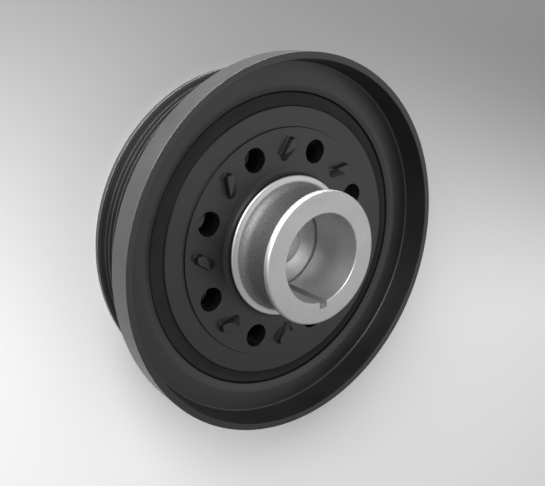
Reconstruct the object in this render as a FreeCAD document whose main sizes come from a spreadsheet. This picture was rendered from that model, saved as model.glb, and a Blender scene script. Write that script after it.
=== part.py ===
import FreeCAD, Part
import Sketcher
import math
import os

# Harmonic balancer: a steel crank hub pressed into a drum-shaped disc, which carries
# an inertia ring with a ribbed belt track through a bonded rubber ring.
# The balancer rests on its outboard end. +Z is the turning axis, towards the hub's nose.
# The origin is the centre of the outboard face. The keyway lies on +Y.

DIMENSIONS = (
    ("flange_width", 2.6, "belt flange at the outboard end, along the axis"),
    ("flange_rise", 1.8, "belt flange above the rib crests"),
    ("rib_count", 7, "grooves in the belt track"),
    ("rib_pitch", 3.56, "groove to groove"),
    ("rib_crest", 0.9, "flat on a rib crest"),
    ("groove_depth", 2.7, "crest to groove floor"),
    ("groove_angle", 40.0, "included angle of a groove, degrees"),
    ("ring_wall", 5.1, "inertia ring's wall between its bore and the groove floors"),
    ("front_land", 1.48, "plain land between the last groove and the rim"),
    ("rim_cone", 4.6, "cone that joins the land to the rim, on both legs"),
    ("rim_width", 12.4, "rim's outer cylinder along the axis"),
    ("rim_step", 10.0, "rim's outer cylinder above the rib crests"),
    ("lip_face", 3.1, "flat face of the rim's lip"),
    ("rim_draft", 1.0, "lean of the rim's inner wall over its depth"),
    ("dish_depth", 12.8, "lip to the crease at the foot of the rim's inner wall"),
    ("floor_fall", 0.2, "fall of the dish floor from the crease to its inner slope"),
    ("slope_width", 3.0, "slope from the dish floor down to the ring's bore, across"),
    ("slope_drop", 1.1, "slope from the dish floor down to the ring's bore, along the axis"),
    ("crease_round", 1.0, "fillet in the crease"),
    ("floor_round", 9.0, "round between the dish floor and its slope"),
    ("lip_round", 0.6, "rounds on the lip and on the rim's rear edge"),
    ("flange_round", 0.5, "rounds on the belt flange"),
    ("ring_bevel", 1.0, "bevel at the outboard mouth of the ring's bore"),
    ("rubber_wall", 6.4, "rubber ring, inner to outer radius"),
    ("rubber_recess", 0.9, "disc face to the rubber's front edge, at the disc"),
    ("rubber_fall", 0.9, "fall of the rubber's front edge from the disc to the ring"),
    ("rubber_setback", 5.0, "outboard face to the rubber's rear edge"),
    ("rubber_sag", 0.3, "hollow of the rubber's free ends"),
    ("disc_radius", 65.8, "disc's outer wall"),
    ("disc_recess", 13.0, "lip to the disc's outer face"),
    ("disc_bevel", 0.8, "bevel on the disc's outer edge"),
    ("disc_setback", 4.0, "outboard face to the rear edge of the disc's wall"),
    ("drum_wall", 4.5, "disc's outer wall, thickness"),
    ("web_thickness", 11.5, "disc's web at the outer face"),
    ("drum_round", 3.0, "fillet between the web and the wall or the boss"),
    ("pad_radius", 56.0, "raised pad on the disc"),
    ("pad_rise", 1.1, "pad above the disc's outer face"),
    ("pad_foot", 0.35, "fillet at the foot of the pad"),
    ("hole_count", 8, "round holes through the pad"),
    ("hole_radius", 5.65, "round hole"),
    ("hole_circle", 46.45, "radius of the circle of holes"),
    ("hole_lead", 24.6, "keyway to the nearest hole clockwise, degrees"),
    ("mark_height", 3.0, "slanted lug above the pad"),
    ("mark_circle", 45.84, "radius of the circle of slanted lugs"),
    ("mark_lag", 0.92, "lug's centre behind the middle between two holes, degrees"),
    ("mark_slant", 33.58, "lug's turn away from the radius, degrees"),
    ("mark_reach_out", 3.9, "lug's centre to the middle of its outer end arc"),
    ("mark_reach_in", 2.9, "lug's centre to the middle of its inner end arc"),
    ("mark_foot", 2.4, "half the lug's width at the pad"),
    ("mark_draft", 0.3, "lean of the lug's sides over its height"),
    ("mark_crease", 2.7, "half the length of the ramp's top edge along the lug"),
    ("mark_crease_shift", 0.5, "middle of the ramp's top edge, inward of the lug's centre"),
    ("collar_wall", 4.6, "disc's collar round the hub, thickness"),
    ("collar_rise", 3.5, "collar above the pad"),
    ("collar_round", 3.0, "sweep from the pad up to the collar"),
    ("boss_wall", 7.5, "disc's boss round the hub behind the web, thickness"),
    ("boss_length", 4.5, "boss behind the web"),
    ("spigot_radius", 29.0, "hub's spigot and the disc's bore, a press fit"),
    ("snout_height", 15.15, "lip to the hub's nose"),
    ("bore_radius", 21.1, "crank bore"),
    ("bore_depth", 28.85, "nose to the bore's shoulder"),
    ("bore_bevel", 0.6, "bevel at the mouth of the bore"),
    ("keyway_width", 4.2, "keyway"),
    ("keyway_depth", 3.1, "keyway beyond the bore's wall"),
    ("bolt_hole_radius", 10.5, "clearance hole for the crank bolt"),
    ("seat_thickness", 9.0, "wall between the bore's shoulder and the bolt's seat"),
    ("seat_radius", 18.5, "recess for the bolt's head"),
    ("seat_depth", 6.8, "depth of the recess for the bolt's head"),
    ("seat_bevel", 0.8, "bevel at the mouth of the recess and on the spigot"),
    ("hub_flange_overhang", 0.7, "hub's flange beyond the disc's collar"),
    ("hub_flange_edge", 1.0, "straight edge of the hub's flange"),
    ("hub_flange_round", 0.8, "round on the edge of the hub's flange"),
    ("hub_flange_cone", 0.5, "rise of the flange's cone towards the neck"),
    ("neck_step", 0.8, "hub's neck inside the spigot's radius"),
    ("neck_sweep", 5.0, "fillet from the flange into the neck"),
    ("nose_radius", 31.4, "hub's nose"),
    ("nose_width", 2.95, "hub's nose along the axis"),
    ("nose_round", 1.4, "round on the nose"),
    ("nose_undercut", 3.8, "cone from the neck out to the nose, along the axis"),
)

GROOVE_OVERSHOOT = 0.3
SAME = 1e-4

doc = FreeCAD.newDocument("HarmonicBalancer")


# Driving dimensions, millimetres and degrees

def build_sheet():
    sheet = doc.addObject("Spreadsheet::Sheet", "Dims")
    for row, (alias, size, note) in enumerate(DIMENSIONS, start=1):
        sheet.set("A%d" % row, alias)
        sheet.set("B%d" % row, str(size))
        sheet.setAlias("B%d" % row, alias)
        sheet.set("C%d" % row, note)
    doc.recompute()
    return sheet


sheet = build_sheet()


def size_of(expression):
    """Number that an expression on the sheet's names comes to."""
    return float(sheet.evalExpression(expression.replace("Dims.", "")))


# Stations along the axis, from the outboard face

TRACK_END = "(Dims.flange_width + Dims.rib_count * Dims.rib_pitch)"
RIM_BACK = "(%s + Dims.front_land)" % TRACK_END
RIM_REAR_EDGE = "(%s + Dims.rim_cone)" % RIM_BACK
LIP = "(%s + Dims.rim_width)" % RIM_REAR_EDGE
CREASE = "(%s - Dims.dish_depth)" % LIP
FLOOR_EDGE = "(%s - Dims.floor_fall)" % CREASE
SLOPE_FOOT = "(%s - Dims.slope_drop)" % FLOOR_EDGE
DISC_FACE = "(%s - Dims.disc_recess)" % LIP
PAD_FACE = "(%s + Dims.pad_rise)" % DISC_FACE
WEB_BACK = "(%s - Dims.web_thickness)" % DISC_FACE
BOSS_BACK = "(%s - Dims.boss_length)" % WEB_BACK
COLLAR_TOP = "(%s + Dims.collar_rise)" % PAD_FACE
RUBBER_FRONT = "(%s - Dims.rubber_recess)" % DISC_FACE
RUBBER_OUTER_FRONT = "(%s - Dims.rubber_fall)" % RUBBER_FRONT
NOSE_FACE = "(%s + Dims.snout_height)" % LIP
SHOULDER = "(%s - Dims.bore_depth)" % NOSE_FACE
BOLT_SEAT = "(%s - Dims.seat_thickness)" % SHOULDER
HUB_BACK = "(%s - Dims.seat_depth)" % BOLT_SEAT
FLANGE_CORNER = "(%s + Dims.hub_flange_edge)" % COLLAR_TOP
NECK_FOOT = "(%s + Dims.hub_flange_cone)" % FLANGE_CORNER
NOSE_BACK = "(%s - Dims.nose_width)" % NOSE_FACE
NECK_TOP = "(%s - Dims.nose_undercut)" % NOSE_BACK

# Radii that follow from a neighbour

RING_BORE = "(Dims.disc_radius + Dims.rubber_wall)"
SLOPE_TOP = "(%s + Dims.slope_width)" % RING_BORE
GROOVE_FLOOR = "(%s + Dims.ring_wall)" % RING_BORE
TRACK_RADIUS = "(%s + Dims.groove_depth)" % GROOVE_FLOOR
FLANGE_TIP = "(%s + Dims.flange_rise)" % TRACK_RADIUS
RIM_RADIUS = "(%s + Dims.rim_step)" % TRACK_RADIUS
LIP_INNER = "(%s - Dims.lip_face)" % RIM_RADIUS
CREASE_RADIUS = "(%s - Dims.rim_draft)" % LIP_INNER
CONE_FOOT = "(%s - Dims.rim_cone)" % RIM_RADIUS
DRUM_INNER = "(Dims.disc_radius - Dims.drum_wall)"
BOSS_RADIUS = "(Dims.spigot_radius + Dims.boss_wall)"
COLLAR_RADIUS = "(Dims.spigot_radius + Dims.collar_wall)"
HUB_FLANGE_RADIUS = "(%s + Dims.hub_flange_overhang)" % COLLAR_RADIUS
NECK_RADIUS = "(Dims.spigot_radius - Dims.neck_step)"
FIRST_HOLE_ANGLE = "(90 - Dims.hole_lead)"
FIRST_MARK_ANGLE = "(%s + 180 / Dims.hole_count - Dims.mark_lag)" % FIRST_HOLE_ANGLE


# Sketches and features

def origin_feature(body, role):
    for feature in body.Origin.OriginFeatures:
        if feature.Role == role:
            return feature
    raise RuntimeError("no %s in %s" % (role, body.Name))


def new_body(label):
    body = doc.addObject("PartDesign::Body", label)
    body.Label = label
    body.Placement = FreeCAD.Placement()
    return body


def new_sketch(body, name, role):
    sketch = body.newObject("Sketcher::SketchObject", name)
    sketch.AttachmentSupport = [(origin_feature(body, role), "")]
    sketch.MapMode = "FlatFace"
    return sketch


def fix_distance(sketch, kind, geometry, vertex, expression):
    """Dimension one point along one of the sketch's axes; "0" keeps it on the other."""
    if expression == "0":
        axis = -2 if kind == "DistanceX" else -1
        sketch.addConstraint(Sketcher.Constraint("PointOnObject", geometry, vertex, axis))
        return
    index = sketch.addConstraint(
        Sketcher.Constraint(kind, -1, 1, geometry, vertex, size_of(expression)))
    sketch.setExpression("Constraints[%d]" % index, expression)


def fix_point(sketch, geometry, vertex, across, up):
    fix_distance(sketch, "DistanceX", geometry, vertex, across)
    fix_distance(sketch, "DistanceY", geometry, vertex, up)


def join(sketch, first, second):
    sketch.addConstraint(Sketcher.Constraint("Coincident", first, 2, second, 1))


def draw_outline(sketch, corners, bulges=None):
    """Closed outline through corners; bulges gives the mid point of an arc by its index."""
    bulges = bulges or {}
    points = [FreeCAD.Vector(size_of(a), size_of(b), 0) for a, b in corners]
    count = len(points)
    for index, start in enumerate(points):
        end = points[(index + 1) % count]
        if index in bulges:
            across, up = bulges[index]
            middle = FreeCAD.Vector(size_of(across), size_of(up), 0)
            sketch.addGeometry(Part.Arc(start, middle, end), False)
        else:
            sketch.addGeometry(Part.LineSegment(start, end), False)
    return count


def outline_sketch(body, name, corners):
    """Closed outline of straight lines in the half plane through the axis."""
    sketch = new_sketch(body, name, "XZ_Plane")
    count = draw_outline(sketch, corners)
    for index in range(count):
        join(sketch, index, (index + 1) % count)
    for index, (across, up) in enumerate(corners):
        fix_point(sketch, index, 1, across, up)
    return sketch


def turn_about_axis(body, name, sketch, kind="PartDesign::Revolution"):
    feature = body.newObject(kind, name)
    feature.Profile = (sketch, [""])
    feature.ReferenceAxis = (sketch, ["V_Axis"])
    feature.Angle = 360
    sketch.Visibility = False
    body.Tip = feature
    doc.recompute()
    return feature


def circle_edges(feature, radius, height):
    """Names of the full circles of one radius at one height about the axis."""
    names = []
    for index, edge in enumerate(feature.Shape.Edges, start=1):
        curve = edge.Curve
        if not isinstance(curve, Part.Circle):
            continue
        centred = math.hypot(curve.Center.x, curve.Center.y) < SAME
        if centred and abs(curve.Radius - radius) < SAME and abs(curve.Center.z - height) < SAME:
            names.append("Edge%d" % index)
    if not names:
        raise RuntimeError("no edge at radius %g, height %g" % (radius, height))
    return names


def dress_edges(body, kind, name, base, stations, size_property, expression):
    """Fillet or chamfer on the circles named by (radius, height) expressions."""
    edges = []
    for radius, height in stations:
        edges += circle_edges(base, size_of(radius), size_of(height))
    feature = body.newObject(kind, name)
    feature.Base = (base, edges)
    setattr(feature, size_property, size_of(expression))
    feature.setExpression(size_property, expression)
    body.Tip = feature
    doc.recompute()
    return feature


def fillet(body, name, base, stations, expression):
    return dress_edges(body, "PartDesign::Fillet", name, base, stations, "Radius", expression)


def chamfer(body, name, base, stations, expression):
    return dress_edges(body, "PartDesign::Chamfer", name, base, stations, "Size", expression)


def place_sketch(sketch, radius, angle, height, turn):
    """Lift a sketch on the XY plane to a height and centre it at a radius and angle."""
    reach = size_of(radius)
    bearing = math.radians(size_of(angle))
    spot = FreeCAD.Vector(reach * math.cos(bearing), reach * math.sin(bearing), size_of(height))
    spin = FreeCAD.Rotation(FreeCAD.Vector(0, 0, 1), size_of(turn))
    sketch.AttachmentOffset = FreeCAD.Placement(spot, spin)
    sketch.setExpression("AttachmentOffset.Base.x", "%s * cos(%s * 1 deg)" % (radius, angle))
    sketch.setExpression("AttachmentOffset.Base.y", "%s * sin(%s * 1 deg)" % (radius, angle))
    sketch.setExpression("AttachmentOffset.Base.z", height)
    sketch.setExpression("AttachmentOffset.Rotation.Angle", "%s * 1 deg" % turn)


def ring_of(body, name, feature, count):
    """Copies of a feature evenly round the axis."""
    pattern = body.newObject("PartDesign::PolarPattern", name)
    pattern.Originals = [feature]
    pattern.Axis = (origin_feature(body, "Z_Axis"), [""])
    pattern.Angle = 360
    pattern.Occurrences = int(size_of(count))
    pattern.setExpression("Occurrences", count)
    body.Tip = pattern
    doc.recompute()
    return pattern


def check_volume(before, after, grows):
    """A feature that points the wrong way leaves the volume as it was."""
    change = after.Shape.Volume - before.Shape.Volume
    if (change > 0) != grows or abs(change) < SAME:
        raise RuntimeError("%s changed the volume by %g" % (after.Label, change))


# Inertia ring: dished rim, belt track and outboard flange, one casting

def build_inertia_ring():
    body = new_body("inertia_ring")
    section = outline_sketch(body, "RingSection", (
        (RING_BORE, "0"),
        (FLANGE_TIP, "0"),
        (FLANGE_TIP, "Dims.flange_width"),
        (TRACK_RADIUS, "Dims.flange_width"),
        (TRACK_RADIUS, RIM_BACK),
        (CONE_FOOT, RIM_BACK),
        (RIM_RADIUS, RIM_REAR_EDGE),
        (RIM_RADIUS, LIP),
        (LIP_INNER, LIP),
        (CREASE_RADIUS, CREASE),
        (SLOPE_TOP, FLOOR_EDGE),
        (RING_BORE, SLOPE_FOOT),
    ))
    blank = turn_about_axis(body, "RingBlank", section)
    grooves = cut_belt_track(body, blank)
    crease = fillet(body, "CreaseFillet", grooves, ((CREASE_RADIUS, CREASE),),
                    "Dims.crease_round")
    edge = fillet(body, "FloorEdge", crease, ((SLOPE_TOP, FLOOR_EDGE),), "Dims.floor_round")
    lip = fillet(body, "LipEdges", edge,
                 ((RIM_RADIUS, LIP), (LIP_INNER, LIP), (RIM_RADIUS, RIM_REAR_EDGE)),
                 "Dims.lip_round")
    flange = fillet(body, "FlangeEdges", lip,
                    ((FLANGE_TIP, "0"), (FLANGE_TIP, "Dims.flange_width")),
                    "Dims.flange_round")
    chamfer(body, "BoreMouth", flange, ((RING_BORE, "0"),), "Dims.ring_bevel")
    return body


def cut_belt_track(body, blank):
    """One V groove, repeated along the axis at the belt's pitch."""
    slope = "tan(Dims.groove_angle / 2 * 1 deg)"
    middle = "(Dims.flange_width + Dims.rib_pitch / 2)"
    half_mouth = "((Dims.rib_pitch - Dims.rib_crest) / 2 + %g * %s)" % (GROOVE_OVERSHOOT, slope)
    half_floor = "((Dims.rib_pitch - Dims.rib_crest) / 2 - Dims.groove_depth * %s)" % slope
    outer = "(%s + %g)" % (TRACK_RADIUS, GROOVE_OVERSHOOT)
    section = outline_sketch(body, "GrooveSection", (
        (outer, "%s - %s" % (middle, half_mouth)),
        (outer, "%s + %s" % (middle, half_mouth)),
        (GROOVE_FLOOR, "%s + %s" % (middle, half_floor)),
        (GROOVE_FLOOR, "%s - %s" % (middle, half_floor)),
    ))
    groove = turn_about_axis(body, "FirstGroove", section, "PartDesign::Groove")
    check_volume(blank, groove, grows=False)
    track = body.newObject("PartDesign::LinearPattern", "BeltTrack")
    track.Originals = [groove]
    track.Direction = (origin_feature(body, "Z_Axis"), [""])
    track.Length = size_of("Dims.rib_pitch * (Dims.rib_count - 1)")
    track.setExpression("Length", "Dims.rib_pitch * (Dims.rib_count - 1)")
    track.Occurrences = int(size_of("Dims.rib_count"))
    track.setExpression("Occurrences", "Dims.rib_count")
    body.Tip = track
    doc.recompute()
    check_volume(groove, track, grows=False)
    return track


# Disc: drum with a raised pad, a swept collar, round holes and slanted lugs

def build_disc():
    body = new_body("hub_disc")
    section = outline_sketch(body, "DiscSection", (
        ("Dims.spigot_radius", BOSS_BACK),
        (BOSS_RADIUS, BOSS_BACK),
        (BOSS_RADIUS, WEB_BACK),
        (DRUM_INNER, WEB_BACK),
        (DRUM_INNER, "Dims.disc_setback"),
        ("Dims.disc_radius", "Dims.disc_setback"),
        ("Dims.disc_radius", DISC_FACE),
        ("Dims.pad_radius", DISC_FACE),
        ("Dims.pad_radius", PAD_FACE),
        (COLLAR_RADIUS, PAD_FACE),
        (COLLAR_RADIUS, COLLAR_TOP),
        ("Dims.spigot_radius", COLLAR_TOP),
    ))
    blank = turn_about_axis(body, "DiscBlank", section)
    foot = fillet(body, "PadFoot", blank, (("Dims.pad_radius", DISC_FACE),), "Dims.pad_foot")
    sweep = fillet(body, "CollarSweep", foot, ((COLLAR_RADIUS, PAD_FACE),),
                   "Dims.collar_round")
    inside = fillet(body, "DrumCorners", sweep, ((DRUM_INNER, WEB_BACK), (BOSS_RADIUS, WEB_BACK)),
                    "Dims.drum_round")
    edge = chamfer(body, "DiscEdge", inside, (("Dims.disc_radius", DISC_FACE),),
                   "Dims.disc_bevel")
    holes = bore_holes(body, edge)
    raise_lugs(body, holes)
    return body


def bore_holes(body, base):
    sketch = new_sketch(body, "HoleSketch", "XY_Plane")
    sketch.addGeometry(Part.Circle(FreeCAD.Vector(0, 0, 0), FreeCAD.Vector(0, 0, 1),
                                   size_of("Dims.hole_radius")), False)
    sketch.addConstraint(Sketcher.Constraint("Coincident", 0, 3, -1, 1))
    radius = sketch.addConstraint(Sketcher.Constraint("Radius", 0, size_of("Dims.hole_radius")))
    sketch.setExpression("Constraints[%d]" % radius, "Dims.hole_radius")
    place_sketch(sketch, "Dims.hole_circle", FIRST_HOLE_ANGLE, PAD_FACE, FIRST_HOLE_ANGLE)
    hole = body.newObject("PartDesign::Pocket", "FirstHole")
    hole.Profile = (sketch, [""])
    hole.Type = "Length"
    hole.Length = size_of("Dims.pad_rise + Dims.web_thickness + Dims.drum_round")
    hole.setExpression("Length", "Dims.pad_rise + Dims.web_thickness + Dims.drum_round")
    sketch.Visibility = False
    body.Tip = hole
    doc.recompute()
    check_volume(base, hole, grows=False)
    return ring_of(body, "Holes", hole, "Dims.hole_count")


def lug_sketch(body, name, height, corners, ends):
    """Closed outline of a lug at one height, its long axis on the sketch's X axis."""
    sketch = new_sketch(body, name, "XY_Plane")
    count = draw_outline(sketch, corners, ends)
    for index in range(count):
        join(sketch, index, (index + 1) % count)
    for index, (across, up) in enumerate(corners):
        fix_point(sketch, index, 1, across, up)
    for index in ends:
        fix_distance(sketch, "DistanceX", index, 3, corners[index][0])
    place_sketch(sketch, "Dims.mark_circle", FIRST_MARK_ANGLE, height,
                 "(%s - Dims.mark_slant)" % FIRST_MARK_ANGLE)
    return sketch


def raise_lugs(body, base):
    """A lug drawn from its foot to a smaller top, with a ramp cut across its inner end."""
    foot = "Dims.mark_foot"
    top = "(Dims.mark_foot - Dims.mark_draft)"
    outer = "Dims.mark_reach_out"
    inner = "(-1 * Dims.mark_reach_in)"
    crease_left = "(-1 * Dims.mark_crease_shift - Dims.mark_crease)"
    crease_right = "(-1 * Dims.mark_crease_shift + Dims.mark_crease)"
    foot_sketch = lug_sketch(
        body, "LugFoot", PAD_FACE,
        ((outer, foot), (inner, foot), (inner, "(-1 * %s)" % foot), (outer, "(-1 * %s)" % foot)),
        {1: ("(%s - %s)" % (inner, foot), "0"), 3: ("(%s + %s)" % (outer, foot), "0")})
    top_sketch = lug_sketch(
        body, "LugTop", "(%s + Dims.mark_height)" % PAD_FACE,
        ((outer, top), (crease_left, top), (crease_right, "(-1 * %s)" % top),
         (outer, "(-1 * %s)" % top)),
        {3: ("(%s + %s)" % (outer, top), "0")})
    lug = body.newObject("PartDesign::AdditiveLoft", "FirstLug")
    lug.Profile = (foot_sketch, [""])
    lug.Sections = [(top_sketch, [""])]
    lug.Ruled = True
    foot_sketch.Visibility = False
    top_sketch.Visibility = False
    body.Tip = lug
    doc.recompute()
    check_volume(base, lug, grows=True)
    return ring_of(body, "Lugs", lug, "Dims.hole_count")


# Rubber ring, bonded between the disc's wall and the inertia ring's bore

def build_rubber_ring():
    body = new_body("rubber_ring")
    sketch = new_sketch(body, "RubberSection", "XZ_Plane")
    inner = "Dims.disc_radius"
    middle = "(Dims.disc_radius + Dims.rubber_wall / 2)"
    rear = "Dims.rubber_setback"
    corners = ((inner, rear), (RING_BORE, rear), (RING_BORE, RUBBER_OUTER_FRONT),
               (inner, RUBBER_FRONT))
    hollows = {0: (middle, "(%s + Dims.rubber_sag)" % rear),
               2: (middle, "(%s - Dims.rubber_fall / 2 - Dims.rubber_sag)" % RUBBER_FRONT)}
    count = draw_outline(sketch, corners, hollows)
    # An arc runs anticlockwise, so a hollow end starts at its far corner
    starts = ((0, 2), (1, 1), (2, 2), (3, 1))
    for index in range(count):
        following = (index + 1) % count
        leaving = 1 if starts[index][1] == 2 else 2
        sketch.addConstraint(Sketcher.Constraint(
            "Coincident", index, leaving, following, starts[following][1]))
    for (index, vertex), (across, up) in zip(starts, corners):
        fix_point(sketch, index, vertex, across, up)
    # Radius of an arc from its chord and its sag
    hollow = "((%s) / 4 + Dims.rubber_sag ^ 2) / (2 * Dims.rubber_sag)"
    radii = {0: hollow % "Dims.rubber_wall ^ 2",
             2: hollow % "Dims.rubber_wall ^ 2 + Dims.rubber_fall ^ 2"}
    for index, radius in radii.items():
        constraint = sketch.addConstraint(Sketcher.Constraint("Radius", index, size_of(radius)))
        sketch.setExpression("Constraints[%d]" % constraint, radius)
    turn_about_axis(body, "RubberTurn", sketch)
    return body


# Hub: stepped bore with a keyway, flange, waisted neck and nose, turned from one forging

def build_hub():
    body = new_body("crank_hub")
    section = outline_sketch(body, "HubSection", (
        ("Dims.seat_radius", HUB_BACK),
        ("Dims.spigot_radius", HUB_BACK),
        ("Dims.spigot_radius", COLLAR_TOP),
        (HUB_FLANGE_RADIUS, COLLAR_TOP),
        (HUB_FLANGE_RADIUS, FLANGE_CORNER),
        (NECK_RADIUS, NECK_FOOT),
        (NECK_RADIUS, NECK_TOP),
        ("Dims.nose_radius", NOSE_BACK),
        ("Dims.nose_radius", NOSE_FACE),
        ("Dims.bore_radius", NOSE_FACE),
        ("Dims.bore_radius", SHOULDER),
        ("Dims.bolt_hole_radius", SHOULDER),
        ("Dims.bolt_hole_radius", BOLT_SEAT),
        ("Dims.seat_radius", BOLT_SEAT),
    ))
    blank = turn_about_axis(body, "HubBlank", section)
    neck = fillet(body, "NeckSweep", blank, ((NECK_RADIUS, NECK_FOOT),),
                  "Dims.neck_sweep")
    flange = fillet(body, "FlangeEdge", neck, ((HUB_FLANGE_RADIUS, FLANGE_CORNER),),
                    "Dims.hub_flange_round")
    nose = fillet(body, "NoseEdge", flange, (("Dims.nose_radius", NOSE_FACE),),
                  "Dims.nose_round")
    mouth = chamfer(body, "BoreMouth", nose, (("Dims.bore_radius", NOSE_FACE),),
                    "Dims.bore_bevel")
    back = chamfer(body, "BackEdges", mouth,
                   (("Dims.seat_radius", HUB_BACK), ("Dims.spigot_radius", HUB_BACK)),
                   "Dims.seat_bevel")
    cut_keyway(body, back)
    return body


def cut_keyway(body, base):
    """Square slot from the nose down to the bore's shoulder, on +Y."""
    half = "(Dims.keyway_width / 2)"
    bottom = "(Dims.bore_radius + Dims.keyway_depth)"
    sketch = new_sketch(body, "KeywaySketch", "XY_Plane")
    corners = (("(-1 * %s)" % half, "0"), (half, "0"), (half, bottom), ("(-1 * %s)" % half, bottom))
    count = draw_outline(sketch, corners)
    for index in range(count):
        join(sketch, index, (index + 1) % count)
    for index, (across, up) in enumerate(corners):
        fix_point(sketch, index, 1, across, up)
    sketch.AttachmentOffset = FreeCAD.Placement(
        FreeCAD.Vector(0, 0, size_of(NOSE_FACE)), FreeCAD.Rotation())
    sketch.setExpression("AttachmentOffset.Base.z", NOSE_FACE)
    slot = body.newObject("PartDesign::Pocket", "Keyway")
    slot.Profile = (sketch, [""])
    slot.Type = "Length"
    slot.Length = size_of("Dims.bore_depth")
    slot.setExpression("Length", "Dims.bore_depth")
    sketch.Visibility = False
    body.Tip = slot
    doc.recompute()
    check_volume(base, slot, grows=False)
    return slot


# Check every object, then write one file for each piece

def check_document():
    for item in doc.Objects:
        if "Invalid" in item.State or "Error" in item.State:
            raise RuntimeError("%s: %s" % (item.Label, item.State))


def export_pieces(bodies):
    os.makedirs("parts", exist_ok=True)
    for body in bodies:
        shape = body.Shape
        if shape.isNull() or not shape.isValid():
            raise RuntimeError("%s has no valid shape" % body.Label)
        shape.exportStep("parts/%s.step" % body.Label)
        box = shape.optimalBoundingBox(False, False)
        print("%-14s %8.2f cm3  %6.2f x %6.2f x %6.2f mm, height %6.2f to %6.2f" % (
            body.Label, shape.Volume / 1000, box.XLength, box.YLength, box.ZLength,
            box.ZMin, box.ZMax))


pieces = [build_inertia_ring(), build_rubber_ring(), build_disc(), build_hub()]
doc.recompute()
check_document()
export_pieces(pieces)
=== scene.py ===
# %% [markdown]
# # A harmonic balancer, lit and finished
# A harmonic balancer sits on the front end of an engine's crankshaft. A heavy iron ring
# hangs on a rubber ring, and the two together soak up the twisting shakes of the shaft.
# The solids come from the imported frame. This lesson turns each of them again as a fine,
# smooth piece, gives it the finish of the real one, and lights the whole in a pale studio.

# %% Load the solids
import math
import bmesh
import bpy
from mathutils import Matrix, Vector


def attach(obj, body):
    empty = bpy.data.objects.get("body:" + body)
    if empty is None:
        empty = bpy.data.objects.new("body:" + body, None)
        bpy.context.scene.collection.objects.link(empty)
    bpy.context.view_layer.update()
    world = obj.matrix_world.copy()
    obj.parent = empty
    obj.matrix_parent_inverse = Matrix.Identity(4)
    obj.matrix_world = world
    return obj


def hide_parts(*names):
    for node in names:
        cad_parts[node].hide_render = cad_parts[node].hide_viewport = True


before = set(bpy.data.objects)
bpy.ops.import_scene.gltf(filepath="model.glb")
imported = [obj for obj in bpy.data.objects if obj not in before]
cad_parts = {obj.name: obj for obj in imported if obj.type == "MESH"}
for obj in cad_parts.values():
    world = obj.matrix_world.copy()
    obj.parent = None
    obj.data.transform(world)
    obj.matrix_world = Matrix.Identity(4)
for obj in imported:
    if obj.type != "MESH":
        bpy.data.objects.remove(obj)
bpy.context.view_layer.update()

MM = 0.001
print("solids:", sorted(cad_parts))

# %% [markdown]
# ## The camera
# The picture was taken from in front of the hub and to one side, with the part standing on
# its rim. Here the part rests on its flat outboard end, which is steadier, so the camera
# leans over it and is rolled until the rim looks upright. Its three directions were worked
# out from the ellipses that the rim, the crease and the circle of holes make in the picture.

# %% Camera
CAMERA_PLACE = Vector((0.19826, -0.11309, 0.28373))
CAMERA_RIGHT = Vector((-0.78860, 0.02834, 0.61424))
CAMERA_UP = Vector((-0.22530, -0.94278, -0.24576))
CAMERA_LENS_MM = 46.5
CAMERA_SENSOR_MM = 36.0
CAMERA_NEAREST = 0.01

lens = bpy.data.cameras.new("studio_camera")
lens.sensor_fit = "HORIZONTAL"
lens.sensor_width = CAMERA_SENSOR_MM
lens.lens = CAMERA_LENS_MM
lens.clip_start = CAMERA_NEAREST
camera = bpy.data.objects.new("studio_camera", lens)
bpy.context.scene.collection.objects.link(camera)
backward = CAMERA_RIGHT.cross(CAMERA_UP).normalized()
turned = Matrix((CAMERA_RIGHT, CAMERA_UP, backward)).transposed().to_4x4()
camera.matrix_world = Matrix.Translation(CAMERA_PLACE) @ turned
bpy.context.scene.camera = camera
print("camera looks along", tuple(round(-x, 3) for x in backward))

# %% [markdown]
# ## Drawing outlines and turning them
# Every piece of a balancer is made on a lathe, so every piece here starts as half of its
# section: a line drawn from corner to corner beside the axis. A row of the outline is a
# radius, a height and the round of that corner, all in millimetres. The line is extruded
# one vertex at a time, its corners are bevelled, and the spin operator turns it round.
# A full turn of one outline gives even quads, which take soft light without flat spots.

# %% Selecting
def clear_selection():
    if bpy.context.object and bpy.context.object.mode != "OBJECT":
        bpy.ops.object.mode_set(mode="OBJECT")
    bpy.ops.object.select_all(action="DESELECT")


def select_only(piece):
    clear_selection()
    bpy.context.view_layer.objects.active = piece
    piece.select_set(True)


def pick(piece, kind, chosen):
    """In edit mode, select the verts, edges or faces that chosen() says yes to."""
    mesh = bmesh.from_edit_mesh(piece.data)
    for element in list(mesh.faces) + list(mesh.edges) + list(mesh.verts):
        element.select = False
    for element in getattr(mesh, kind):
        if chosen(element):
            element.select_set(True)
    bmesh.update_edit_mesh(piece.data)


# %% Outline
ROUND_SEGMENTS = 4
SAME_PLACE = 1e-6


def corner_setback(before, corner, after):
    """Length along each side that a round takes, from its radius and the turn there."""
    into = Vector((corner[0] - before[0], corner[1] - before[1])).normalized()
    out = Vector((after[0] - corner[0], after[1] - corner[1])).normalized()
    return corner[2] * math.tan(into.angle(out) / 2)


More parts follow.
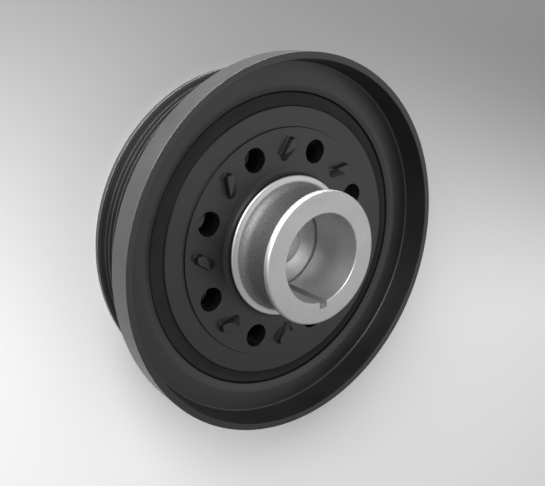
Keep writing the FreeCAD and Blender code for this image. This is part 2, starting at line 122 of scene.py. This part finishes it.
def draw_outline(name, rows):
    """Closed line in the XZ plane through rows of (radius, height, round)."""
    clear_selection()
    bpy.ops.mesh.primitive_plane_add(size=MM)
    piece = bpy.context.object
    piece.name = piece.data.name = name
    bpy.ops.object.mode_set(mode="EDIT")
    bpy.ops.mesh.select_mode(type="VERT")
    bpy.ops.mesh.merge(type="CENTER")
    bpy.ops.transform.translate(value=(rows[0][0] * MM, 0, rows[0][1] * MM))
    for here, following in zip(rows, rows[1:] + rows[:1]):
        step = ((following[0] - here[0]) * MM, 0, (following[1] - here[1]) * MM)
        bpy.ops.mesh.extrude_vertices_move(TRANSFORM_OT_translate={"value": step})
    bpy.ops.mesh.select_all(action="SELECT")
    bpy.ops.mesh.remove_doubles(threshold=SAME_PLACE)
    for index, row in enumerate(rows):
        if not row[2]:
            continue
        setback = corner_setback(rows[index - 1], row, rows[(index + 1) % len(rows)])
        place = Vector((row[0] * MM, 0, row[1] * MM))
        pick(piece, "verts", lambda vert: (vert.co - place).length < SAME_PLACE)
        bpy.ops.mesh.bevel(offset=setback * MM, segments=ROUND_SEGMENTS, affect="VERTICES",
                           clamp_overlap=False)
    return piece


# %% Spin
FACETS = 240


def spin_round(piece):
    """Turn an outline about the axis and close the seam."""
    bpy.ops.mesh.select_all(action="SELECT")
    bpy.ops.mesh.spin(steps=FACETS, angle=math.tau, center=(0, 0, 0), axis=(0, 0, 1),
                      use_auto_merge=True)
    bpy.ops.mesh.select_all(action="SELECT")
    bpy.ops.mesh.remove_doubles(threshold=SAME_PLACE)
    bpy.ops.mesh.normals_make_consistent(inside=False)
    bpy.ops.object.mode_set(mode="OBJECT")
    return piece


# %% Modifiers and finish
SMOOTH_ANGLE = math.radians(40)
FLAT_FACE_WEIGHT = 60


def apply_modifier(piece, kind, **settings):
    select_only(piece)
    modifier = piece.modifiers.new(kind.lower(), kind)
    for name, value in settings.items():
        setattr(modifier, name, value)
    bpy.ops.object.modifier_apply(modifier=modifier.name)


def finish_piece(piece, node, material):
    """Smooth the turned faces, weigh flat faces more than rounds, and stand for a solid."""
    select_only(piece)
    bpy.ops.object.shade_smooth_by_angle(angle=SMOOTH_ANGLE)
    apply_modifier(piece, "WEIGHTED_NORMAL", keep_sharp=True, weight=FLAT_FACE_WEIGHT)
    piece.data.materials.clear()
    piece.data.materials.append(material)
    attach(piece, "root")
    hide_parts(node)
    print(piece.name, len(piece.data.polygons), "faces")


# %% [markdown]
# ## Nodes and colours
# One helper adds a shader node with its settings and links. One function turns the sRGB
# hex colour that a colour picker shows into the linear values that the shaders mix.

# %% Node helper
def linear(hex_colour):
    """'#rrggbb' in sRGB to linear red, green, blue and alpha."""
    values = [int(hex_colour[i:i + 2], 16) / 255 for i in (1, 3, 5)]
    return [v / 12.92 if v <= 0.04045 else ((v + 0.055) / 1.055) ** 2.4 for v in values] + [1.0]


def add_node(tree, kind, settings=None, links=None):
    """A node with its settings; links gives each input a value or another node's output."""
    node = tree.nodes.new(kind)
    for name, value in (settings or {}).items():
        setattr(node, name, value)
    for socket, value in (links or {}).items():
        if isinstance(value, bpy.types.NodeSocket):
            tree.links.new(value, node.inputs[socket])
        else:
            node.inputs[socket].default_value = value
    return node


def new_material(name):
    """A material with an empty node tree."""
    material = bpy.data.materials.new(name)
    material.use_nodes = True
    material.node_tree.nodes.clear()
    return material, material.node_tree


def set_surface(tree, links):
    """The surface shader with its inputs, joined to the material's output."""
    surface = add_node(tree, "ShaderNodeBsdfPrincipled", links=links)
    add_node(tree, "ShaderNodeOutputMaterial", links={"Surface": surface.outputs[0]})


# %% [markdown]
# ## Patterns on a turned piece
# What a lathe leaves depends only on the distance from the axis and the height, so the
# materials read those two. Clouds of noise keep the colours from being quite even, masks
# mark off a zone between two edges, and bumps are laid one on another.

# %% Patterns
NOISE_LOW = 0.3  # noise sits mostly between these two
NOISE_HIGH = 0.7


def lathe_coordinates(tree):
    """Place on the piece, the same as (radius, 0, height), and radius and height alone."""
    place = add_node(tree, "ShaderNodeTexCoord").outputs["Object"]
    apart = add_node(tree, "ShaderNodeSeparateXYZ", links={0: place}).outputs
    flat = add_node(tree, "ShaderNodeCombineXYZ", links={"X": apart["X"], "Y": apart["Y"]})
    radius = add_node(tree, "ShaderNodeVectorMath", {"operation": "LENGTH"},
                      {0: flat.outputs[0]}).outputs["Value"]
    lathe = add_node(tree, "ShaderNodeCombineXYZ", links={"X": radius, "Z": apart["Z"]})
    return place, lathe.outputs[0], radius, apart["Z"]


def clouds(tree, vector, size_mm, low=0.0, high=1.0):
    """Noise with spots about size_mm across, stretched over low to high."""
    noise = add_node(tree, "ShaderNodeTexNoise",
                     links={"Vector": vector, "Scale": 1 / (size_mm * MM)})
    return add_node(tree, "ShaderNodeMapRange", links={
        "Value": noise.outputs["Fac"], "From Min": NOISE_LOW, "From Max": NOISE_HIGH,
        "To Min": low, "To Max": high}).outputs[0]


def mask(tree, *edges):
    """1 past all the edges, each of them a value, where it starts and ends in mm."""
    marked = 1.0
    for value, start, end in edges:
        edge = add_node(tree, "ShaderNodeMapRange", links={
            "Value": value, "From Min": start * MM, "From Max": end * MM})
        marked = add_node(tree, "ShaderNodeMath", {"operation": "MULTIPLY"},
                          {0: marked, 1: edge.outputs[0]}).outputs[0]
    return marked


def layered_colour(tree, base, *layers):
    """A colour with others laid over it, each where its mask is 1."""
    colour = linear(base)
    for marked, other in layers:
        colour = add_node(tree, "ShaderNodeMix", {"data_type": "RGBA"}, {
            "Factor": marked, 6: colour, 7: linear(other)}).outputs[2]
    return colour


def relief(tree, *layers):
    """Noises laid one on another as bumps: where, size and depth in mm, and detail."""
    links = {"Strength": 1.0}
    for vector, size_mm, depth_mm, detail in layers:
        noise = add_node(tree, "ShaderNodeTexNoise", links={
            "Vector": vector, "Scale": 1 / (size_mm * MM), "Detail": detail})
        links.update({"Height": noise.outputs["Fac"], "Distance": depth_mm * MM})
        links["Normal"] = add_node(tree, "ShaderNodeBump", links=links).outputs[0]
    return links["Normal"]


# %% [markdown]
# ## Black paint on machined iron
# The ring and the disc are grey cast iron, turned on a lathe and dipped in black
# electrophoretic paint. The paint is thin and satin: it shows broad soft reflections, and
# under it lie the fine rings that the lathe's tool left. The real feed is about 0.15 mm
# a turn, too fine to show here, so the rings are drawn about 0.9 mm apart and very shallow.
# The clear resin floats to the top as the paint cures and makes a thin skin, the coat here.
# In the belt track, behind the rim, the paint is thin: no skin there, and less shine.

# %% Paint
PAINT_IOR = 1.56
PAINT_SPECULAR = 0.5
PAINT_CLOUD_MM = 22.0
PAINT_DRIFT = 0.03
PAINT_RINGS = (0.9, 0.012)  # size and depth in mm
PAINT_PEEL = (0.7, 0.008)
SKIN_WEIGHT = 0.42
TRACK_EDGE = (80.7, 80.3)  # the track's thin paint starts and is whole at these radii
TRACK_TOP_EDGE = (29.5, 29.1)  # and at these heights
TRACK_SPECULAR = 0.25
PLAIN_DETAIL = 2.0


def painted_iron(name, dark, light, roughness):
    material, tree = new_material(name)
    place, lathe, radius, height = lathe_coordinates(tree)
    cloud = clouds(tree, place, PAINT_CLOUD_MM)
    uneven = add_node(tree, "ShaderNodeMapRange", links={
        "Value": cloud, "To Min": roughness - PAINT_DRIFT, "To Max": roughness + PAINT_DRIFT})
    in_track = mask(tree, (radius, *TRACK_EDGE), (height, *TRACK_TOP_EDGE))
    skin = add_node(tree, "ShaderNodeMapRange", links={
        "Value": in_track, "To Min": SKIN_WEIGHT, "To Max": 0.0})
    shine = add_node(tree, "ShaderNodeMapRange", links={
        "Value": in_track, "To Min": PAINT_SPECULAR, "To Max": TRACK_SPECULAR})
    set_surface(tree, {
        "Base Color": layered_colour(tree, dark, (cloud, light)),
        "Roughness": uneven.outputs[0], "IOR": PAINT_IOR,
        "Specular IOR Level": shine.outputs[0],
        "Coat Weight": skin.outputs[0], "Coat Roughness": roughness,
        "Normal": relief(tree, (lathe, *PAINT_RINGS, PLAIN_DETAIL),
                         (place, *PAINT_PEEL, PLAIN_DETAIL))})
    return material


ring_paint = painted_iron("satin_black_paint_on_turned_iron", "#101011", "#161617", 0.43)
disc_paint = painted_iron("satin_black_paint_on_cast_iron", "#121213", "#181819", 0.42)
print("paints:", ring_paint.name, disc_paint.name)

# %% [markdown]
# ## Rubber
# The ring between is synthetic rubber, moulded in place. It is matte and a little grainy
# from the mould, and its ends are sucked in slightly where it shrank as it cured.

# %% Rubber
RUBBER_IOR = 1.45
RUBBER_ROUGHNESS = 0.66
RUBBER_CLOUD_MM = 9.0
RUBBER_GRAIN = (0.6, 0.03)

rubber, rubber_tree = new_material("moulded_rubber")
rubber_place = add_node(rubber_tree, "ShaderNodeTexCoord").outputs["Object"]
rubber_cloud = clouds(rubber_tree, rubber_place, RUBBER_CLOUD_MM)
set_surface(rubber_tree, {
    "Base Color": layered_colour(rubber_tree, "#111111", (rubber_cloud, "#181817")),
    "Roughness": RUBBER_ROUGHNESS, "IOR": RUBBER_IOR,
    "Normal": relief(rubber_tree, (rubber_place, *RUBBER_GRAIN, PLAIN_DETAIL))})
print("rubber:", rubber.name)

# %% [markdown]
# ## Turned steel
# The hub is steel, turned all over and left bare under a film of oil. The lathe's rings
# show as a soft brushed sheen round the axis, and are drawn coarse as on the iron. The neck
# between the flange and the nose is left rougher from the first cut: duller and grainy, and
# its colour is darkened there, a painted shade. The flange's rim is painted lighter, a painted
# highlight.

# %% Steel
STEEL_ROUGHNESS = 0.5
STEEL_CLOUD_MM = 12.0
STEEL_RINGS = (0.8, 0.006)
STEEL_RINGS_DETAIL = 3.0
STEEL_RINGS_DRIFT = 0.04
NECK_DULLER = 0.15
NECK_GRAIN_MM = 1.1
NECK_GRAIN_LEAST = 0.8
BELOW_NOSE = (58.5, 56.5)  # each edge: where its mask starts and where it is whole
OUTSIDE_BORE = (24.5, 25.5)
ON_FLANGE = (31.2, 32.2)
OFF_FLANGE = (32.2, 31.2)

hub_steel, steel_tree = new_material("turned_steel")
steel_place, steel_lathe, steel_radius, steel_height = lathe_coordinates(steel_tree)
below_nose = (steel_height, *BELOW_NOSE)
# The flange's rim, where a lighter colour is painted on as a highlight.
flange_painted_highlight = mask(steel_tree, below_nose, (steel_radius, *ON_FLANGE))
whole_neck = mask(steel_tree, below_nose, (steel_radius, *OUTSIDE_BORE),
                  (steel_radius, *OFF_FLANGE))
neck_grain = clouds(steel_tree, steel_place, NECK_GRAIN_MM, NECK_GRAIN_LEAST, 1.0)
# The neck: duller from the rougher cut, and darkened in colour, which is painted shade.
neck_dull_and_shaded = add_node(steel_tree, "ShaderNodeMath", {"operation": "MULTIPLY"},
                   {0: whole_neck, 1: neck_grain}).outputs[0]

# %% Steel's sheen
ring_noise = add_node(steel_tree, "ShaderNodeTexNoise", links={
    "Vector": steel_lathe, "Scale": 1 / (STEEL_RINGS[0] * MM), "Detail": STEEL_RINGS_DETAIL})
ring_drift = add_node(steel_tree, "ShaderNodeMapRange", links={
    "Value": ring_noise.outputs["Fac"], "From Min": NOISE_LOW, "From Max": NOISE_HIGH,
    "To Min": -STEEL_RINGS_DRIFT, "To Max": STEEL_RINGS_DRIFT})
duller = add_node(steel_tree, "ShaderNodeMapRange", links={
    "Value": neck_dull_and_shaded, "To Min": STEEL_ROUGHNESS, "To Max": STEEL_ROUGHNESS + NECK_DULLER})
steel_rough = add_node(steel_tree, "ShaderNodeMath", {"operation": "ADD"},
                       {0: duller.outputs[0], 1: ring_drift.outputs[0]})
steel_cloud = clouds(steel_tree, steel_place, STEEL_CLOUD_MM)
# The neck's darker colour is painted shade, and the flange's lighter colour is a painted
# highlight.
set_surface(steel_tree, {
    "Base Color": layered_colour(steel_tree, "#c6c6c6", (steel_cloud, "#cecece"),
                                 (neck_dull_and_shaded, "#7c7c7c"), (flange_painted_highlight, "#e2e2e1")),
    "Metallic": 1.0, "Roughness": steel_rough.outputs[0],
    "Normal": relief(steel_tree, (steel_lathe, *STEEL_RINGS, STEEL_RINGS_DETAIL))})
print("steel:", hub_steel.name)

# %% [markdown]
# ## The inertia ring
# One iron casting: a dished rim at the front, a track of V grooves for the belt behind it,
# and a low flange that keeps the belt on at the outboard end. The grooves are written as a
# loop, because they only differ in their place along the axis.

# %% Grooves
FLANGE_WIDTH = 2.6
RIB_PITCH = 3.56
RIB_COUNT = 7
HALF_CREST = 0.45
CREST_ROUND = 0.15
GROOVE_FLANK = 0.983
GROOVE_FLOOR_RADIUS = 77.3
GROOVE_ROUND = 0.2
TRACK_RADIUS = 80.0

groove_rows = []
for rib in range(RIB_COUNT):
    start = FLANGE_WIDTH + rib * RIB_PITCH + HALF_CREST
    end = start + RIB_PITCH - 2 * HALF_CREST
    groove_rows += [
        (TRACK_RADIUS, start, CREST_ROUND),
        (GROOVE_FLOOR_RADIUS, start + GROOVE_FLANK, GROOVE_ROUND),
        (GROOVE_FLOOR_RADIUS, end - GROOVE_FLANK, GROOVE_ROUND),
        (TRACK_RADIUS, end, CREST_ROUND),
    ]
print("grooves:", RIB_COUNT, "corners:", len(groove_rows))

# %% Inertia ring
FLANGE_RADIUS = 81.8
TRACK_TOP = 29.0
RIM_RADIUS = 90.0
RING_BORE = 72.2
LIP_HEIGHT = 46.0

ring_rows = [
    (RING_BORE + 1.0, 0.0, 0.2), (FLANGE_RADIUS, 0.0, 0.25),  # outboard end
    (FLANGE_RADIUS, FLANGE_WIDTH, 0.25),
] + groove_rows + [
    (TRACK_RADIUS, TRACK_TOP, 0.4), (85.4, TRACK_TOP, 0.4),  # shoulder behind the rim
    (RIM_RADIUS, 33.6, 0.6), (RIM_RADIUS, LIP_HEIGHT, 0.12),  # the rim's outer face
    (86.9, LIP_HEIGHT, 0.3), (85.9, 33.2, 1.0),  # the lip and the dish's wall
    (75.2, 33.0, 9.0), (RING_BORE, 31.9, 0.25),  # the dish's floor and its slope
    (RING_BORE, 1.0, 0.2),
]
ring = spin_round(draw_outline("iron_ring", ring_rows))
finish_piece(ring, "inertia_ring", ring_paint)

# %% [markdown]
# ## The rubber ring
# The rubber fills the gap between the iron ring and the disc's wall. Its two free ends are
# shallow hollows, drawn as a few corners on a sagging curve. At the front a small groove
# runs round its outer edge, where the mould's lip pressed against the ring's bore.

# %% Rubber ring
DISC_WALL = 65.8
RUBBER_REAR = 5.0
RUBBER_FRONT_INNER = 32.1
RUBBER_FRONT_OUTER = 31.2
RUBBER_SAG = 0.3
RUBBER_GROOVE = 0.9
SAG_STEPS = 8


def sagging_end(start, end, sag):
    """Rows from one (radius, height) to another, bowed by sag halfway."""
    rows = []
    for step in range(SAG_STEPS + 1):
        along = step / SAG_STEPS
        bow = sag * 4 * along * (1 - along)
        rows.append((start[0] + (end[0] - start[0]) * along,
                     start[1] + (end[1] - start[1]) * along + bow, 0.0))
    return rows


rubber_rows = (
    sagging_end((DISC_WALL, RUBBER_REAR), (RING_BORE, RUBBER_REAR), RUBBER_SAG)
    + [(RING_BORE, RUBBER_FRONT_OUTER - RUBBER_GROOVE, 0.0)]
    + sagging_end((RING_BORE - RUBBER_GROOVE, RUBBER_FRONT_OUTER),
                  (DISC_WALL, RUBBER_FRONT_INNER), -RUBBER_SAG))
rubber_piece = spin_round(draw_outline("rubber", rubber_rows))
finish_piece(rubber_piece, "rubber_ring", rubber)

# %% [markdown]
# ## The disc
# A drum of iron: a web with a raised pad, swept up to a collar round the hub, and a wall
# behind that the rubber is bonded to. Its holes are cut by a ring of cutters shaped like
# a drill with a countersink, so each hole's mouth gets its small bevel in the same cut.

# %% Disc
SPIGOT_RADIUS = 29.0
BOSS_RADIUS = 36.5
BOSS_REAR = 17.0
DRUM_BORE = 61.3
DRUM_REAR = 4.0
WEB_BACK = 21.5
DISC_FACE = 33.0
DISC_BEVEL = 0.5
PAD_RADIUS = 56.0
PAD_FACE = 34.1
COLLAR_RADIUS = 33.6
COLLAR_TOP = 37.6

disc_rows = [
    (SPIGOT_RADIUS, BOSS_REAR, 0.3), (BOSS_RADIUS, BOSS_REAR, 0.8),
    (BOSS_RADIUS, WEB_BACK, 3.0), (DRUM_BORE, WEB_BACK, 3.0),
    (DRUM_BORE, DRUM_REAR, 0.4), (DISC_WALL, DRUM_REAR, 0.4),
    (DISC_WALL, DISC_FACE - DISC_BEVEL, 0.1), (DISC_WALL - DISC_BEVEL, DISC_FACE, 0.1),
    (PAD_RADIUS, DISC_FACE, 0.5), (PAD_RADIUS, PAD_FACE, 0.12),
    (COLLAR_RADIUS, PAD_FACE, 3.0), (COLLAR_RADIUS, COLLAR_TOP, 0.3),
    (SPIGOT_RADIUS, COLLAR_TOP, 0.2),
]
disc = spin_round(draw_outline("drilled_disc", disc_rows))
print("disc turned:", len(disc.data.polygons), "faces")

# %% Cutting and joining
HOLE_COUNT = 8
FACING_UP = 0.9  # least Z of the normal of a face that counts as a top


def join(pieces):
    clear_selection()
    for piece in pieces:
        piece.select_set(True)
    bpy.context.view_layer.objects.active = pieces[0]
    bpy.ops.object.join()
    return pieces[0]


def cut_with(piece, cutter, operation="DIFFERENCE"):
    apply_modifier(piece, "BOOLEAN", object=cutter, operation=operation, solver="EXACT")
    bpy.data.objects.remove(cutter)


def ring_places(radius, first_angle):
    for index in range(HOLE_COUNT):
        angle = first_angle + index * math.tau / HOLE_COUNT
        yield angle, Vector((math.cos(angle) * radius * MM, math.sin(angle) * radius * MM, 0))


# %% Holes
HOLE_RADIUS = 5.65
HOLE_CIRCLE = 46.45
FIRST_HOLE_ANGLE = math.radians(65.4)
HOLE_BEVEL = 0.15
HOLE_FACETS = 72
CUT_BOTTOM = 12.0


def hole_cutter(place):
    """A cylinder whose top is drawn out into a cone, like a drill with a countersink."""
    top = PAD_FACE - HOLE_BEVEL
    clear_selection()
    bpy.ops.mesh.primitive_cylinder_add(
        vertices=HOLE_FACETS, radius=HOLE_RADIUS * MM, depth=(top - CUT_BOTTOM) * MM,
        location=place + Vector((0, 0, (top + CUT_BOTTOM) / 2 * MM)))
    cutter = bpy.context.object
    bpy.ops.object.mode_set(mode="EDIT")
    bpy.ops.mesh.select_mode(type="FACE")
    pick(cutter, "faces", lambda face: face.normal.z > FACING_UP)
    bpy.ops.mesh.extrude_region_move(
        TRANSFORM_OT_translate={"value": (0, 0, 2 * HOLE_BEVEL * MM)})
    grow = (HOLE_RADIUS + 2 * HOLE_BEVEL) / HOLE_RADIUS
    bpy.ops.transform.resize(value=(grow, grow, 1))
    bpy.ops.object.mode_set(mode="OBJECT")
    return cutter


cutters = [hole_cutter(place) for angle, place in ring_places(HOLE_CIRCLE, FIRST_HOLE_ANGLE)]
cut_with(disc, join(cutters))
print("holes cut:", HOLE_COUNT)

# %% [markdown]
# ## The slanted lugs
# Between the holes stand eight slanted lugs, round at both ends. One block is shaped by
# hand: its foot flows out into the pad in a small fillet, its sides lean in, and its inner
# end is pulled down into a ramp below a slanting crease. Its top edges are softened.

# %% Sizes of a lug
LUG_HEIGHT = 3.0
LUG_SUNK = 0.5
LUG_HALF_WIDTH = 2.4
LUG_LEAN = 0.3
LUG_OUTER = 6.3  # along the lug, from its own middle
LUG_INNER = -5.3
LUG_CREASE_LEFT = -3.2
LUG_CREASE_RIGHT = 2.2
LUG_FOOT_ROUND = 0.45
FOOT_STEPS = ((0.45, 0.10), (0.30, 0.13), (0.25, 0.22))  # share of the round, mm of rise
LUG_END_SHARE = 0.97  # an end's round as a share of half the width
LUG_END_SEGMENTS = 9
LUG_EDGE_ROUND = 0.3
LUG_EDGE_SEGMENTS = 3
LUG_TOP_ZONE = 0.5
print("lug:", LUG_OUTER - LUG_INNER, "mm long,", 2 * LUG_HALF_WIDTH, "mm wide")


# %% Shaping a lug
def lug_block():
    """A block with round ends and a stepped foot fillet, drawn up to the lug's height."""
    half = LUG_HALF_WIDTH + LUG_FOOT_ROUND
    clear_selection()
    bpy.ops.mesh.primitive_cube_add(size=MM)
    lug = bpy.context.object
    bpy.ops.object.mode_set(mode="EDIT")
    bpy.ops.transform.resize(
        value=(LUG_OUTER - LUG_INNER + 2 * LUG_FOOT_ROUND, 2 * half, LUG_SUNK))
    bpy.ops.transform.translate(
        value=((LUG_OUTER + LUG_INNER) / 2 * MM, 0, -LUG_SUNK / 2 * MM))
    bpy.ops.mesh.select_mode(type="EDGE")
    pick(lug, "edges",
         lambda edge: abs(edge.verts[0].co.z - edge.verts[1].co.z) > LUG_SUNK / 2 * MM)
    bpy.ops.mesh.bevel(offset=half * LUG_END_SHARE * MM, segments=LUG_END_SEGMENTS,
                       affect="EDGES")
    bpy.ops.mesh.select_mode(type="FACE")
    pick(lug, "faces", lambda face: face.normal.z > FACING_UP)
    for share, rise in FOOT_STEPS:
        bpy.ops.mesh.inset(thickness=share * LUG_FOOT_ROUND * MM, depth=rise * MM)
    bpy.ops.mesh.inset(thickness=LUG_LEAN * MM, depth=(LUG_HEIGHT - LUG_FOOT_ROUND) * MM)
    return lug


def pull_ramp(lug):
    """Draw the inner part of the selected top back to the slanting crease."""
    shape = bmesh.from_edit_mesh(lug.data)
    reach = LUG_HALF_WIDTH - LUG_LEAN
    for vert in shape.verts:
        across = vert.co.y / MM / reach
        crease = (LUG_CREASE_LEFT + LUG_CREASE_RIGHT) / 2
        crease -= across * (LUG_CREASE_RIGHT - LUG_CREASE_LEFT) / 2
        if vert.select and vert.co.x / MM < crease:
            vert.co.x = crease * MM
    bmesh.update_edit_mesh(lug.data)


# %% Lugs
LUG_CIRCLE = 45.84
LUG_LAG = math.radians(0.92)
LUG_SLANT = math.radians(34.5)


def slanted_lug(angle, place):
    lug = lug_block()
    pull_ramp(lug)
    bpy.ops.mesh.select_mode(type="EDGE")
    top = (LUG_HEIGHT - LUG_TOP_ZONE) * MM
    pick(lug, "edges", lambda edge: all(vert.co.z > top for vert in edge.verts))
    bpy.ops.mesh.bevel(offset=LUG_EDGE_ROUND * MM, segments=LUG_EDGE_SEGMENTS,
                       affect="EDGES")
    bpy.ops.mesh.select_all(action="SELECT")
    bpy.ops.mesh.normals_make_consistent(inside=False)
    bpy.ops.object.mode_set(mode="OBJECT")
    lug.location = place + Vector((0, 0, PAD_FACE * MM))
    lug.rotation_euler.z = angle + LUG_LAG - LUG_SLANT
    bpy.ops.object.transform_apply()
    return lug


first_lug = FIRST_HOLE_ANGLE + math.pi / HOLE_COUNT - LUG_LAG
lugs = [slanted_lug(angle, place) for angle, place in ring_places(LUG_CIRCLE, first_lug)]
cut_with(disc, join(lugs), "UNION")
finish_piece(disc, "hub_disc", disc_paint)

# %% [markdown]
# ## The hub
# The hub is turned from one piece of steel: a plain spigot pressed into the disc, a flange
# that meets the disc's collar, a waisted neck, and a nose whose round edge catches the
# light. Its bore takes the crankshaft, down to a shoulder with the bolt's hole in it.

# %% Hub
HUB_REAR = 16.5
SEAT_RADIUS = 18.5
SEAT_FACE = 23.3
BOLT_HOLE_RADIUS = 10.5
HUB_FLANGE_RADIUS = 34.3
NECK_RADIUS = 28.2
NOSE_RADIUS = 31.4
NOSE_FACE = 61.15
BORE_RADIUS = 21.1
SHOULDER = 32.3
UNDERCUT = 0.9

hub_rows = [
    (SEAT_RADIUS, HUB_REAR, 0.8), (SPIGOT_RADIUS, HUB_REAR, 0.8),
    (SPIGOT_RADIUS, COLLAR_TOP, 0.1), (HUB_FLANGE_RADIUS, COLLAR_TOP, 0.2),
    (HUB_FLANGE_RADIUS, 38.6, 0.8), (NECK_RADIUS, 39.1, 5.0),  # up to the flange, the neck
    (NECK_RADIUS, 54.4, 1.0), (NOSE_RADIUS, 58.2, 0.4),
    (NOSE_RADIUS, NOSE_FACE, 0.9), (BORE_RADIUS, NOSE_FACE, 0.6),
    (BORE_RADIUS, SHOULDER + UNDERCUT, 0.0),
    (BORE_RADIUS + UNDERCUT, SHOULDER + 0.8, 0.0), (BORE_RADIUS + UNDERCUT, SHOULDER, 0.0),
    (BOLT_HOLE_RADIUS, SHOULDER, 0.4), (BOLT_HOLE_RADIUS, SEAT_FACE, 0.2),
    (SEAT_RADIUS, SEAT_FACE, 0.5),
]
hub = spin_round(draw_outline("steel_hub", hub_rows))
print("hub turned:", len(hub.data.polygons), "faces")

# %% Keyway
KEYWAY_WIDTH = 4.2
KEYWAY_BOTTOM = 24.2
KEYWAY_START = 10.0
KEYWAY_TOP = NOSE_FACE + 2

clear_selection()
bpy.ops.mesh.primitive_cube_add(size=MM)
key_cutter = bpy.context.object
bpy.ops.object.mode_set(mode="EDIT")
bpy.ops.transform.resize(
    value=(KEYWAY_WIDTH, KEYWAY_BOTTOM - KEYWAY_START, KEYWAY_TOP - SHOULDER))
bpy.ops.transform.translate(value=(
    0, (KEYWAY_BOTTOM + KEYWAY_START) / 2 * MM, (KEYWAY_TOP + SHOULDER) / 2 * MM))
bpy.ops.object.mode_set(mode="OBJECT")
cut_with(hub, key_cutter)
finish_piece(hub, "crank_hub", hub_steel)

# %% [markdown]
# ## The studio
# The part lies on a plain pale floor in an even white room. The paper of the floor goes
# from grey to white across the picture. Under the bolt hole it shows white to the camera
# and to mirrors only, because in the photograph the white ground is seen there.

# %% Paper
PAPER_DIRECTION = (0.26, 1.0, 0.0)  # the way in which the paper gets lighter
PAPER_GREY_AT = -0.145
PAPER_WHITE_AT = 0.074
PAPER_ROUGHNESS = 0.9
WHITE_UNDER_HOLE = 0.019

floor_paper, paper_tree = new_material("studio_paper")
paper_place = add_node(paper_tree, "ShaderNodeTexCoord").outputs["Object"]
paper_along = add_node(paper_tree, "ShaderNodeVectorMath", {"operation": "DOT_PRODUCT"},
                       {0: paper_place, 1: PAPER_DIRECTION})
paper_fade = add_node(paper_tree, "ShaderNodeMapRange", {"interpolation_type": "SMOOTHSTEP"}, {
    "Value": paper_along.outputs["Value"],
    "From Min": PAPER_GREY_AT, "From Max": PAPER_WHITE_AT})
paper_radius = add_node(paper_tree, "ShaderNodeVectorMath", {"operation": "LENGTH"},
                        {0: paper_place})
# The paper under the bolt hole glows white to the camera and to mirrors: painted light that
# takes the place of the part's shade there.
under_hole = add_node(paper_tree, "ShaderNodeMath", {"operation": "LESS_THAN"},
                      {0: paper_radius.outputs["Value"], 1: WHITE_UNDER_HOLE})
ray = add_node(paper_tree, "ShaderNodeLightPath").outputs
seen = add_node(paper_tree, "ShaderNodeMath", {"operation": "MAXIMUM"},
                {0: ray["Is Camera Ray"], 1: ray["Is Glossy Ray"]})
glow = add_node(paper_tree, "ShaderNodeMath", {"operation": "MULTIPLY"},
                {0: under_hole.outputs[0], 1: seen.outputs[0]})
set_surface(paper_tree, {
    "Base Color": layered_colour(paper_tree, "#939393", (paper_fade.outputs[0], "#f9f9f9")),
    "Roughness": PAPER_ROUGHNESS,
    "Emission Color": (1, 1, 1, 1), "Emission Strength": glow.outputs[0]})
floor_paper.cycles.emission_sampling = "NONE"
print("paper:", floor_paper.name)

# %% Floor
FLOOR_SIZE = 6.0

clear_selection()
bpy.ops.mesh.primitive_plane_add(size=FLOOR_SIZE)
floor = bpy.context.object
floor.name = "studio_floor"
floor.data.materials.append(floor_paper)
print("floor:", FLOOR_SIZE, "m wide")

# %% [markdown]
# ## The light
# A large soft panel stands beyond the rim, at the picture's upper left: it draws the
# bright band along the round of the nose. A weak panel overhead is mirrored by the flat
# faces. In the photograph the side light hardly reaches the disc, since the dish's rim
# stands before it: a weak panel of its own takes the side panel's place there, so that
# the flanks of the pad and the lugs stay dark. A low strip lights the rim's underside.
# The camera sees none of the lamps.

# %% Room
ROOM_LEVEL = 0.36

room = bpy.data.worlds.new("white_room")
bpy.context.scene.world = room
room.use_nodes = True
room.node_tree.nodes["Background"].inputs["Color"].default_value = (1, 1, 1, 1)
room.node_tree.nodes["Background"].inputs["Strength"].default_value = ROOM_LEVEL
print("room:", ROOM_LEVEL)

# %% Panels
HIGHEST_AIM = 0.04
BEYOND_RIM = Vector((0.58, -0.75, 0.50))
PANELS = (  # name, place, width and height, watts, the pieces lit (none named: all)
    ("side_panel", BEYOND_RIM, (0.8, 0.8), 15.5, (ring, rubber_piece, hub, floor)),
    ("top_panel", Vector((-0.55, 0.05, 0.90)), (0.9, 0.9), 1.45, ()),
    ("disc_panel", BEYOND_RIM, (0.8, 0.8), 4.0, (disc,)),
    ("low_strip", Vector((0.10, -0.25, 0.006)), (0.7, 0.012), 4.5, (ring, hub)),
)

for name, place, size, power, lit_pieces in PANELS:
    light = bpy.data.lights.new(name, "AREA")
    light.shape = "RECTANGLE"
    light.size, light.size_y = size
    light.energy = power
    panel = bpy.data.objects.new(name, light)
    bpy.context.scene.collection.objects.link(panel)
    panel.location = place
    aim = Vector((0, 0, min(place.z, HIGHEST_AIM))) - place
    panel.rotation_euler = aim.to_track_quat("-Z", "Y").to_euler()
    panel.visible_camera = False
    if lit_pieces:
        lit = bpy.data.collections.new(name + "_lights_only")
        for piece in lit_pieces:
            lit.objects.link(piece)
        panel.light_linking.receiver_collection = lit
    print(name, size[0], "m wide,", power, "W")

bpy.context.scene.view_settings.view_transform = "Standard"
